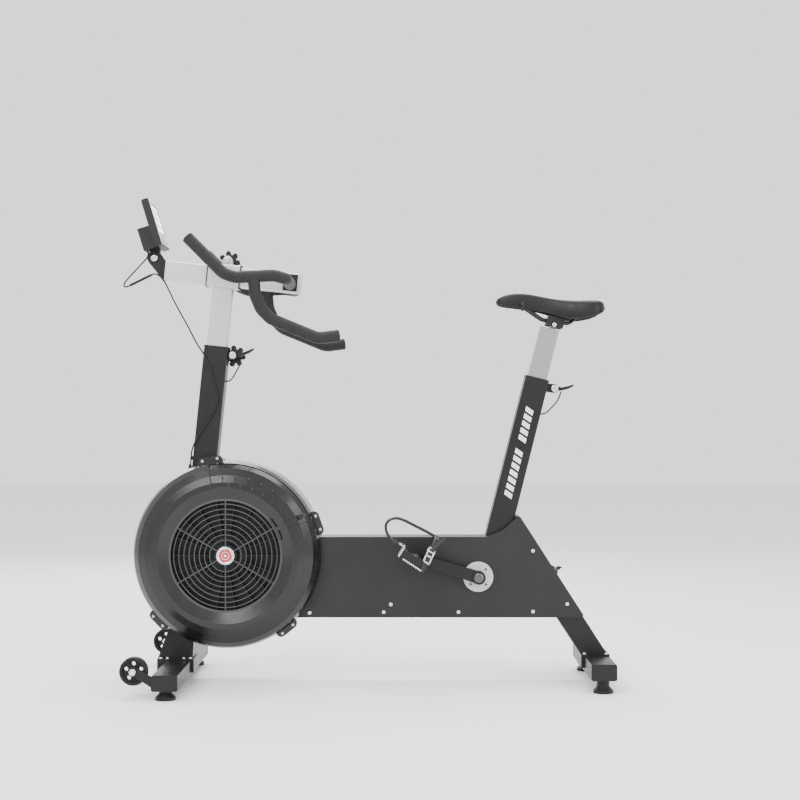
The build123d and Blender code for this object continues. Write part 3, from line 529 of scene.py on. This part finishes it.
# ---- sensor lead ---------------------------------------------------------------------------------
LEAD_DIAMETER = 0.004
PIGTAIL = [(-0.583, -0.003, 1.1146), (-0.581, -0.003, 1.1046), (-0.597, -0.005, 1.086),
           (-0.614, -0.008, 1.067), (-0.632, -0.011, 1.047), (-0.643, -0.013, 1.033),
           (-0.6435, -0.0143, 1.023), (-0.635, -0.0155, 1.0233), (-0.626, -0.017, 1.0275)]
UPPER_LEAD = [(-0.571, -0.026, 1.053), (-0.561, -0.0276, 1.0576), (-0.548, -0.031, 1.05),
              (-0.536, -0.032, 1.036), (-0.525, -0.033, 1.015), (-0.513, -0.0335, 0.989),
              (-0.498, -0.034, 0.961), (-0.484, -0.034, 0.936)]
LOWER_LEAD = [(-0.484, -0.034, 0.936), (-0.4718, -0.034, 0.9142), (-0.454, -0.034, 0.878),
              (-0.434, -0.034, 0.849), (-0.416, -0.0345, 0.815), (-0.408, -0.035, 0.784),
              (-0.3985, -0.035, 0.753), (-0.397, -0.035, 0.724), (-0.409, -0.0355, 0.699),
              (-0.428, -0.0365, 0.666), (-0.45, -0.038, 0.635), (-0.463, -0.039, 0.607),
              (-0.467, -0.039, 0.583), (-0.4675, -0.039, 0.5558)]


def make_lead(name, node, points):
    """One stretch of the lead, swept along its route between two bodies."""
    line = smooth_route(points, name)
    vertices, faces = swept(line, LEAD_DIAMETER / 2)
    piece = add_piece(name, vertices, faces, "jacket", None)
    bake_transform(piece)
    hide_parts(node)
    return piece


def make_leads():
    """The monitor's pigtail and the lead down the post into the fan housing, either side of the connector."""
    make_lead("pigtail", "sensor_pigtail", PIGTAIL)
    make_lead("lead_upper", "upper_lead", UPPER_LEAD)
    make_lead("lead_lower", "lower_lead", LOWER_LEAD)


# ---- saddle --------------------------------------------------------------------------------------
# Each station along the saddle: x, half width, top of the crown, height of the wing's crest,
# lowest edge, and how deep the middle channel is.
SADDLE_STATIONS = [
    (0.3215, 0.006, 0.9905, 0.9895, 0.9830, 0.0),
    (0.3270, 0.0135, 0.9960, 0.9940, 0.9770, 0.0),
    (0.3400, 0.0185, 1.0020, 0.9985, 0.9740, 0.0),
    (0.3600, 0.0220, 1.0078, 1.0035, 0.9715, 0.0006),
    (0.3850, 0.0245, 1.0095, 1.0050, 0.9690, 0.0014),
    (0.4150, 0.0275, 1.0055, 1.0020, 0.9640, 0.0024),
    (0.4500, 0.0310, 0.9965, 0.9950, 0.9570, 0.0034),
    (0.4800, 0.0420, 0.9890, 0.9895, 0.9470, 0.0040),
    (0.5100, 0.0550, 0.9850, 0.9865, 0.9385, 0.0042),
    (0.5400, 0.0660, 0.9835, 0.9860, 0.9400, 0.0040),
    (0.5650, 0.0695, 0.9835, 0.9870, 0.9450, 0.0032),
    (0.5840, 0.0655, 0.9830, 0.9865, 0.9510, 0.0020),
    (0.5950, 0.0540, 0.9790, 0.9825, 0.9590, 0.0008),
    (0.5990, 0.0380, 0.9740, 0.9770, 0.9660, 0.0),
]
SADDLE_SKIN = 0.0045


def saddle_section(station, inset=0.0):
    """One cross-section of the saddle's skin, from the left edge over the crown to the right edge."""
    x, half, crown, crest, edge, channel = station
    points = []
    steps = 12
    for i in range(-steps, steps + 1):
        t = i / steps
        across = math.sin(t * math.pi / 2)
        shoulder = abs(t) ** 3
        height = crown + (crest - crown) * min(1.0, abs(t) * 1.9) - channel * math.exp(-(t / 0.16) ** 2)
        drop = (height - edge) * max(0.0, (abs(t) - 0.45) / 0.55) ** 2.2
        points.append((x, across * (half - inset) * (1 - 0.05 * shoulder), height - drop - inset))
    return points


def make_saddle():
    """The saddle: a crowned skin with a middle channel, and its seams."""
    outer = [saddle_section(station) for station in SADDLE_STATIONS]
    inner = [saddle_section(station, SADDLE_SKIN) for station in SADDLE_STATIONS]
    count = len(outer[0])
    vertices = [p for section in outer for p in section] + [p for section in inner for p in section]
    base = len(outer) * count
    faces = []
    for i in range(len(outer) - 1):
        for j in range(count - 1):
            a = i * count + j
            faces.append((a, a + count, a + count + 1, a + 1))
            faces.append((base + a, base + a + 1, base + a + count + 1, base + a + count))
    last = (len(outer) - 1) * count
    for i in range(len(outer) - 1):
        for j in (0, count - 1):
            a = i * count + j
            face = (a, base + a, base + a + count, a + count)
            faces.append(face if j == 0 else tuple(reversed(face)))
    for j in range(count - 1):
        faces.append((j, j + 1, base + j + 1, base + j))
        faces.append((last + j + 1, last + j, base + last + j, base + last + j + 1))
    saddle = add_piece("saddle", vertices, faces, "leather", None)
    smooth = saddle.modifiers.new("smooth", "SUBSURF")
    smooth.levels = smooth.render_levels = 2
    apply_modifiers(saddle)
    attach(saddle, "saddle")
    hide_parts("saddle_pad")
    for side, name in ((-1, "left"), (1, "right")):
        end = 0 if side < 0 else -1
        offset = Vector((0, side * 0.0006, 0.0012))
        edge = [Vector(section[end]) + offset for section in outer]
        seam = smooth_route(edge, f"saddle_{name}_seam")
        vertices, faces = swept(seam, 0.0016, 8)
        piece = add_piece(f"saddle_{name}_seam", vertices, faces, "matte_black", "saddle")


def make_saddle_shell():
    """Sockets under the saddle's cover for the ends of the rails."""
    parts = []
    for side in (-1, 1):
        for x, z, length in ((0.3900, 0.9735, 0.020), (0.5335, 0.9580, 0.012)):
            place = Matrix.Translation((x, side * 0.022, z)) @ Matrix.Rotation(math.radians(-35), 4, "Y")
            profile = [(0.00001, -length / 2), (0.0052, -length / 2), (0.0066, -length / 4),
                       (0.0066, length / 2), (0.00001, length / 2)]
            parts.append(placed(turned(profile, 16), place))
    piece = add_piece("saddle_rail_sockets", *joined(parts), "matte_black", "saddle")


# ---- pedals --------------------------------------------------------------------------------------
CLIP_ROUTE = [(0.044, 0.0145), (0.058, 0.0085), (0.078, 0.0090), (0.098, 0.0170), (0.1105, 0.0310),
              (0.1110, 0.0470), (0.1000, 0.0610), (0.0820, 0.0675), (0.0500, 0.0705), (0.0150, 0.0745),
              (-0.0190, 0.0765)]
HOOP_WIDTH, HOOP_THICKNESS = 0.024, 0.0044
RIM_OFFSET, RIM_RADIUS = 0.0115, 0.0033
STRAP_MIDDLE = -0.014
# Leans the strap and its buckle towards the toe as they rise, with the top kept in place.
STRAP_SHEAR = Matrix(((1, 0, 0.15, -0.0115), (0, 1, 0, 0), (0, 0, 1, 0), (0, 0, 0, 1)))
PEDAL_MIDDLE = 0.134
STRAP_INNER, STRAP_OUTER = 0.0885, 0.1795


def band(line, across, width, thickness):
    """A flat strap along a line, its width along the across direction."""
    vertices, faces = [], []
    across = Vector(across).normalized()
    for i, point in enumerate(line):
        ahead = (line[min(i + 1, len(line) - 1)] - line[max(i - 1, 0)]).normalized()
        out = ahead.cross(across).normalized()
        for u, v in ((-0.5, -0.5), (0.5, -0.5), (0.5, 0.5), (-0.5, 0.5)):
            vertices.append(point + across * width * u + out * thickness * v)
    for i in range(len(line) - 1):
        a = i * 4
        faces += [(a + k, a + (k + 1) % 4, a + 4 + (k + 1) % 4, a + 4 + k) for k in range(4)]
    faces += [(3, 2, 1, 0), tuple(len(vertices) - 4 + k for k in range(4))]
    return vertices, faces


def make_toe_strap(side, name):
    """The toe clip's hoop with its thick rims, the strap over the instep and its loose tail."""
    body = f"{name}_pedal"
    place = pedal_place(side)
    hoop_line = smooth_route([(u, side_y(side, PEDAL_MIDDLE), w) for u, w in CLIP_ROUTE], f"{name}_hoop")
    parts = [band(hoop_line, (0, 1, 0), HOOP_WIDTH, HOOP_THICKNESS)]
    for edge in (-RIM_OFFSET, RIM_OFFSET):
        rim = [point + Vector((0, edge, 0)) for point in hoop_line]
        parts.append(swept(rim, RIM_RADIUS, 12))
    hoop = add_piece(f"{name}_hoop", *joined(parts), "knob", body, place)
    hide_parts(f"{name}_toe_clip")
    place = place @ STRAP_SHEAR
    low, high = -0.0140, 0.0765
    near, far = STRAP_INNER, STRAP_OUTER
    loop = [(near + 0.012, low), (far - 0.012, low), (far, low), (far + 0.0005, low + 0.014),
            (far + 0.001, 0.034), (far, high - 0.022), (far - 0.004, high - 0.006), (far - 0.016, high),
            (near + 0.016, high), (near + 0.004, high - 0.006), (near, high - 0.022),
            (near - 0.001, 0.034), (near, low + 0.014), (near, low), (near + 0.0115, low)]
    line = smooth_route([(STRAP_MIDDLE, side_y(side, y), w) for y, w in loop], f"{name}_strap")
    strap = add_piece(f"{name}_strap", *band(line, (1, 0, 0), 0.013, 0.0019), "strap", body, place)
    tail = [(STRAP_MIDDLE - 0.001, far + 0.0035, 0.040), (STRAP_MIDDLE - 0.004, far + 0.0055, 0.056),
            (STRAP_MIDDLE - 0.010, far + 0.0060, 0.072), (STRAP_MIDDLE - 0.018, far + 0.0052, 0.087)]
    tail_line = smooth_route([(u, side_y(side, y), w) for u, y, w in tail], f"{name}_tail")
    tail_piece = add_piece(f"{name}_strap_tail", *band(tail_line, (1, 0, -0.2), 0.012, 0.0018), "strap", body,
                           place)
    make_buckle(side, name, place, far)
    make_cage_edge(side, name)


def make_cage_edge(side, name):
    """The serrated plate edge along the outer bottom of a pedal."""
    near, far = sorted((side_y(side, 0.1782), side_y(side, 0.1796)))
    teeth, start, pitch = 9, 0.030, 0.0062
    outline = [(start, -0.0112)]
    for tooth in range(teeth):
        u = start - pitch * tooth
        outline += [(u, -0.0130), (u - 0.45 * pitch, -0.0158), (u - 0.75 * pitch, -0.0130)]
    outline += [(start - pitch * teeth, -0.0130), (start - pitch * teeth, -0.0112)]
    edge = add_piece(f"{name}_cage_edge", *prism_xz(outline, near, far), "chrome", f"{name}_pedal",
                     pedal_place(side), smooth=False)


def side_y(side, y):
    """A pedal's local y for a distance from the middle plane, outwards on its own side."""
    return -side * y


def make_buckle(side, name, place, far):
    """The ratchet buckle: a bright plate frame with two slots and a hinge pin."""
    parts = []
    y = side_y(side, far + 0.0028)
    frame_width, frame_height, bar, thick = 0.019, 0.040, 0.0035, 0.0035
    u, w = STRAP_MIDDLE, 0.030
    for du in (-1, 1):
        parts.append(box_part((u + du * (frame_width - bar) / 2, y, w), (bar, thick, frame_height)))
    for dw in (-1, -0.1, 0.55, 1):
        parts.append(box_part((u, y, w + dw * (frame_height - bar) / 2), (frame_width, thick, bar)))
    pin_place = Matrix.Translation((u, y, w + 0.010)) @ Matrix.Rotation(math.pi / 2, 4, "Y")
    parts.append(placed(turned([(0.00001, -0.011), (0.0022, -0.011), (0.0022, 0.011), (0.00001, 0.011)], 12),
                        pin_place))
    buckle = add_piece(f"{name}_buckle", *joined(parts), "chrome", f"{name}_pedal", place, smooth=False)
    soften(buckle, 0.0006)


def box_part(middle, size):
    """Vertices and faces of a box."""
    x, y, z = middle
    a, b, c = (length / 2 for length in size)
    outline = [(x - a, y - b), (x + a, y - b), (x + a, y + b), (x - a, y + b)]
    return prism(outline, z - c, z + c)


# ---- screws, bolts and badges --------------------------------------------------------------------
COVER_SCREWS = [(-0.1607, 0.1832), (0.0297, 0.1850), (0.0480, 0.2048), (0.2217, 0.1850), (0.4132, 0.1865),
                (0.5011, 0.2058), (0.4132, 0.3423)]
DISC_SCREW_CIRCLE = 0.0275
FRONT_BEAM_BOLTS = [(-0.542, 0.065), (-0.526, 0.065), (-0.484, 0.065), (-0.468, 0.065)]
REAR_BEAM_BOLTS = [(0.5465, 0.0765), (0.600, 0.0765)]
HOUSING_SCREW_CIRCLE = 0.2465
HOUSING_SCREW_ANGLES = (15, 23.5, 96, 105, 220, 228, 305, 313)


def make_screws():
    """Screws in both covers and bearing covers, and the bolts of the beams, lobes and wheels."""
    parts, disc_parts = [], []
    for side in (-1, 1):
        for x, z in COVER_SCREWS:
            parts.append(placed(bolt_head(0.0050, 0.0028), facing(x, side * COVER_FACE, z, side)))
        for step in range(4):
            angle = math.radians(45 + 90 * step)
            x = CRANK.x + DISC_SCREW_CIRCLE * math.cos(angle)
            z = CRANK.z + DISC_SCREW_CIRCLE * math.sin(angle)
            disc_parts.append(placed(bolt_head(0.0032, 0.0016), facing(x, side * 0.054, z, side)))
    add_named("cover_screws", parts, "chrome", "frame")
    add_named("bearing_cover_screws", disc_parts, "spring", "frame")
    beam_bolts = []
    for x, z in FRONT_BEAM_BOLTS + REAR_BEAM_BOLTS:
        for y in (-0.046, 0.046):
            place = Matrix.Translation((x, y, z))
            beam_bolts.append(placed(hexagon_bolt(0.0044, 0.0032), place))
    add_named("beam_bolts", beam_bolts, "chrome", "frame")
    lobe_bolts = []
    for degrees in HOUSING_SCREW_ANGLES:
        x, _, z = around_fan(HOUSING_SCREW_CIRCLE, 0, degrees)
        lobe_bolts.append(placed(bolt_head(0.0042, 0.0025), facing(x, -0.064, z)))
    add_named("housing_screws", lobe_bolts, "steel", "frame")
    wheel_bolts = []
    for side in (-1, 1):
        for y, facing_side in ((0.291, side), (0.253, -side)):
            wheel_bolts.append(placed(bolt_head(0.0085, 0.004), facing(-0.575, side * y, 0.068, facing_side)))
    add_named("wheel_bolts", wheel_bolts, "chrome", "frame")
    axle_caps = [placed(bolt_head(0.0122, 0.0035), facing(CRANK.x, side * 0.0862, CRANK.z, side))
                 for side in (-1, 1)]
    add_named("axle_caps", axle_caps, "spring", "crank")


def add_named(name, parts, material, body, smooth=True):
    piece = add_piece(name, *joined(parts), material, body, smooth=smooth)
    soften(piece, 0.0003)
    return piece


def hexagon_bolt(radius, height):
    """A hexagon head on a washer."""
    angles = [math.radians(60 * k) for k in range(6)]
    corners = [(radius * math.cos(angle), radius * math.sin(angle)) for angle in angles]
    washer = turned([(0.00001, 0), (radius * 1.35, 0), (radius * 1.35, 0.0012), (0.00001, 0.0012)], 24)
    return joined([washer, prism(corners, 0.0012, 0.0012 + height)])


def make_pivot_bolts():
    """Bright bolt heads on the latch pivots, the sleeve clamp, the saddle and the monitor bracket."""
    heads = [("frame", SEAT, SEAT_PIVOT, 0.024, 0.0092), ("frame", POST, POST_PIVOT, 0.024, 0.0092),
             ("handlebar_post", BEAM, (0.005, 0.043), 0.019, 0.0078),
             ("beam", BEAM, (-0.1835, 0.0282), 0.020, 0.0088),
             ("saddle", SEAT, (0.008, 0.147), 0.033, 0.0058)]
    for i, (body, place, (u, w), y, radius) in enumerate(heads):
        parts = []
        sides = (-1, 1) if body in ("beam", "saddle") else (-1,)
        for side in sides:
            spot = place @ Matrix.Translation((u, 0, w))
            turn = Matrix.Rotation(math.radians(90 if side < 0 else -90), 4, "X")
            parts.append(placed(bolt_head(radius, 0.004), spot @ Matrix.Translation((0, side * y, 0)) @ turn))
        add_named(f"pivot_bolt_{i}", parts, "chrome", body)


def make_badge():
    """The fan badge: a bright ring round an enamel disc with a plain circle and dot."""
    place = FAN @ Matrix.Translation((0, -0.110, 0)) @ Matrix.Rotation(math.radians(90), 4, "X")
    ring = turned([(0.0160, 0), (0.0165, 0.0016), (0.0215, 0.0020), (0.0235, 0.0006), (0.0235, 0)], 48)
    ring_piece = add_piece("badge_ring", *placed(ring, place), "chrome", "frame")
    disc = turned([(0.00001, 0.0012), (0.0120, 0.0012), (0.0164, 0.0008), (0.0164, 0)], 48)
    disc_piece = add_piece("badge_disc", *placed(disc, place), "red", "frame")
    motif = [turned([(0.0088, 0.0008), (0.0088, 0.0018), (0.0104, 0.0018), (0.0104, 0.0008)], 40),
             turned([(0.00001, 0.0020), (0.0036, 0.0020), (0.0036, 0.0008)], 24)]
    piece = add_piece("badge_motif", *placed(joined(motif), place), "white", "frame")


def make_decal():
    """A plain white pattern of slanted bars down the near side of the seat tube."""
    parts = []
    bars = [True] * 5 + [False] + [True] * 7
    half, slant, thick, pitch = 0.0105, 0.004, 0.0125, 0.0185
    w = -0.078
    for shown in bars:
        if shown:
            outline = [(-half, w + slant), (half, w - slant), (half, w - slant - thick),
                       (-half, w + slant - thick)]
            parts.append(prism_xz(outline, -0.03125, -0.0310))
        w -= pitch
    decal = add_piece("seat_tube_decal", *joined(parts), "white", "frame", SEAT, smooth=False)


def prism_xz(outline, near, far):
    """A flat outline in local x and z, given thickness along y."""
    vertices, faces = prism(outline, near, far)
    return [Vector((x, y, z)) for x, z, y in vertices], faces


def make_scale_numbers():
    """Raised numbers 1 to 6 between the marks of the damper scale."""
    for step in range(6):
        text = bpy.data.curves.new(f"scale_{step}", "FONT")
        text.body, text.size, text.extrude = str(step + 1), 0.0105, 0.001
        text.align_x, text.align_y = "CENTER", "CENTER"
        holder = bpy.data.objects.new(f"scale_{step}", text)
        bpy.context.scene.collection.objects.link(holder)
        mesh = bpy.data.meshes.new_from_object(holder)
        bpy.data.objects.remove(holder)
        spot = around_fan(0.1815, -0.1152, SCALE_START + SCALE_PITCH * (step + 0.5))
        place = Matrix.Translation(spot) @ Matrix.Rotation(math.radians(90), 4, "X")
        mesh.transform(place)
        mesh.materials.clear()
        mesh.materials.append(MATERIALS["wire"])
        piece = bpy.data.objects.new(f"scale_number_{step + 1}", mesh)
        bpy.context.scene.collection.objects.link(piece)
        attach(piece, "frame")


# ---- monitor -------------------------------------------------------------------------------------
def rounded_outline(width, height, radius, steps=6):
    """A rounded rectangle as a list of points."""
    points = []
    for cx, cy, start in ((1, 1, 0), (-1, 1, 90), (-1, -1, 180), (1, -1, 270)):
        for step in range(steps + 1):
            angle = math.radians(start + 90 * step / steps)
            points.append((cx * (width / 2 - radius) + radius * math.cos(angle),
                           cy * (height / 2 - radius) + radius * math.sin(angle)))
    return points


# The bars of one idle digit, in units of its height: middle x, middle y, width, height.
SEGMENT_BARS = ((0, 0.5, 0.5, 0.1), (0, -0.5, 0.5, 0.1), (-0.28, 0, 0.08, 0.9), (0.28, 0, 0.08, 0.9))


def screen_place(depth):
    """A place over the middle of the screen, local z out of the face, x across and y up."""
    turn = Matrix(((0, 0, 1, depth), (1, 0, 0, 0), (0, 1, 0, 0.015), (0, 0, 0, 1)))
    return MONITOR @ turn


def make_monitor_details():
    """The display in the monitor's recess and its idle segments."""
    glass = add_piece("monitor_screen", *prism(rounded_outline(0.108, 0.072, 0.004), 0, 0.0007), "screen",
                      "monitor", screen_place(0.0085), smooth=False)
    segments = []
    for size, y in ((0.016, 0.020), (0.010, 0.000), (0.010, -0.018)):
        for column in range(4):
            x = -0.036 + 0.024 * column
            for bar_x, bar_y, width, height in SEGMENT_BARS:
                corners = [(x + size * (bar_x + i * width / 2), y + size * (bar_y + j * height / 2))
                           for i, j in ((-1, -1), (1, -1), (1, 1), (-1, 1))]
                segments.append(prism(corners, 0, 0.0002))
    digits = add_piece("monitor_segments", *joined(segments), "matte_black", "monitor", screen_place(0.0092),
                       smooth=False)


def make_end_plugs():
    """Rubber plugs in the open ends of the horns and the drops."""
    parts = []
    profile = [(0.00001, -0.008), (0.0122, -0.008), (0.0122, 0.0), (0.0149, 0.0), (0.0146, 0.0022),
               (0.0115, 0.0042), (0.006, 0.005), (0.00001, 0.0052)]
    for (x, z), (dx, dz) in (((-0.453, 1.1285), (-0.087, 0.0875)), ((-0.0815, 0.886), (0.0495, 0.006))):
        for side in (-1, 1):
            turn = Vector((dx, 0, dz)).to_track_quat("Z", "Y").to_matrix().to_4x4()
            parts.append(placed(turned(profile, 32), Matrix.Translation((x, side * 0.205, z)) @ turn))
    plugs = add_piece("bar_end_plugs", *joined(parts), "grip", "beam")


# ---- fan housing details -------------------------------------------------------------------------
DOME_EDGE = [(0.1735, -0.1178), (0.186, -0.1172), (0.204, -0.1118), (0.222, -0.0998), (0.233, -0.0850)]


def around_fan(radius, y, degrees):
    angle = math.radians(degrees)
    return FAN @ Vector((radius * math.cos(angle), y, radius * math.sin(angle)))


def make_scale_lip():
    """The raised lip round the damper scale, and its graduation marks."""
    low, high = 23.0, 101.0
    line = [around_fan(radius, y, high) for radius, y in reversed(DOME_EDGE)]
    inner_radius, inner_y = DOME_EDGE[0]
    steps = 40
    turns = [high - (high - low) * step / steps for step in range(1, steps)]
    line += [around_fan(inner_radius, inner_y, degrees) for degrees in turns]
    line += [around_fan(radius, y, low) for radius, y in DOME_EDGE]
    lip = add_piece("scale_lip", *swept(line, 0.0013, 8), "fan_gloss", "frame")
    marks = []
    for step in range(7):
        degrees = SCALE_START + SCALE_PITCH * step
        ends = [around_fan(0.189, -0.1142, degrees), around_fan(0.205, -0.1088, degrees)]
        marks.append(swept(ends, 0.0012, 8))
    piece = add_piece("scale_marks", *joined(marks), "wire", "frame")


def make_lead_grommet():
    """The tapered rubber grommet where the lead enters the fan housing."""
    profile = [(0.0022, 0.010), (0.0034, 0.0095), (0.0042, 0.004), (0.0062, 0.0018), (0.0066, -0.003),
               (0.0022, -0.003)]
    place = Matrix.Translation((-0.4675, -0.039, 0.5552)) @ Matrix.Rotation(math.radians(-14), 4, "Y")
    piece = add_piece("lead_grommet", *placed(turned(profile, 24), place), "tyre", "frame")


def make_springs():
    """The latch return wires, each swept from the frame to its lever."""
    springs = (("seat_spring", "seat_latch_spring", SEAT, SEAT_PIVOT, "seat_lever"),
               ("post_spring", "post_latch_spring", POST, POST_PIVOT, "post_lever"))
    for name, node, place, (u, w), lever in springs:
        points = [(0.0312, -0.084), (0.0430, -0.084), (u + 0.012, w - 0.040), (u + 0.0195, w - 0.022),
                  (u + 0.020, w - 0.0035)]
        line = smooth_route([place @ Vector((a, 0, b)) for a, b in points], name)
        piece = add_piece(name, *swept(line, 0.0019, 12), "jacket", None)
        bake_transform(piece)
        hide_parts(node)


make_camera()
make_studio()
make_leads()
dress_nodes()
make_saddle()
make_saddle_shell()
for pedal_side, pedal_name in ((-1, "left"), (1, "right")):
    make_toe_strap(pedal_side, pedal_name)
make_screws()
make_pivot_bolts()
make_badge()
make_decal()
make_scale_numbers()
make_scale_lip()
make_lead_grommet()
make_monitor_details()
make_end_plugs()
make_springs()
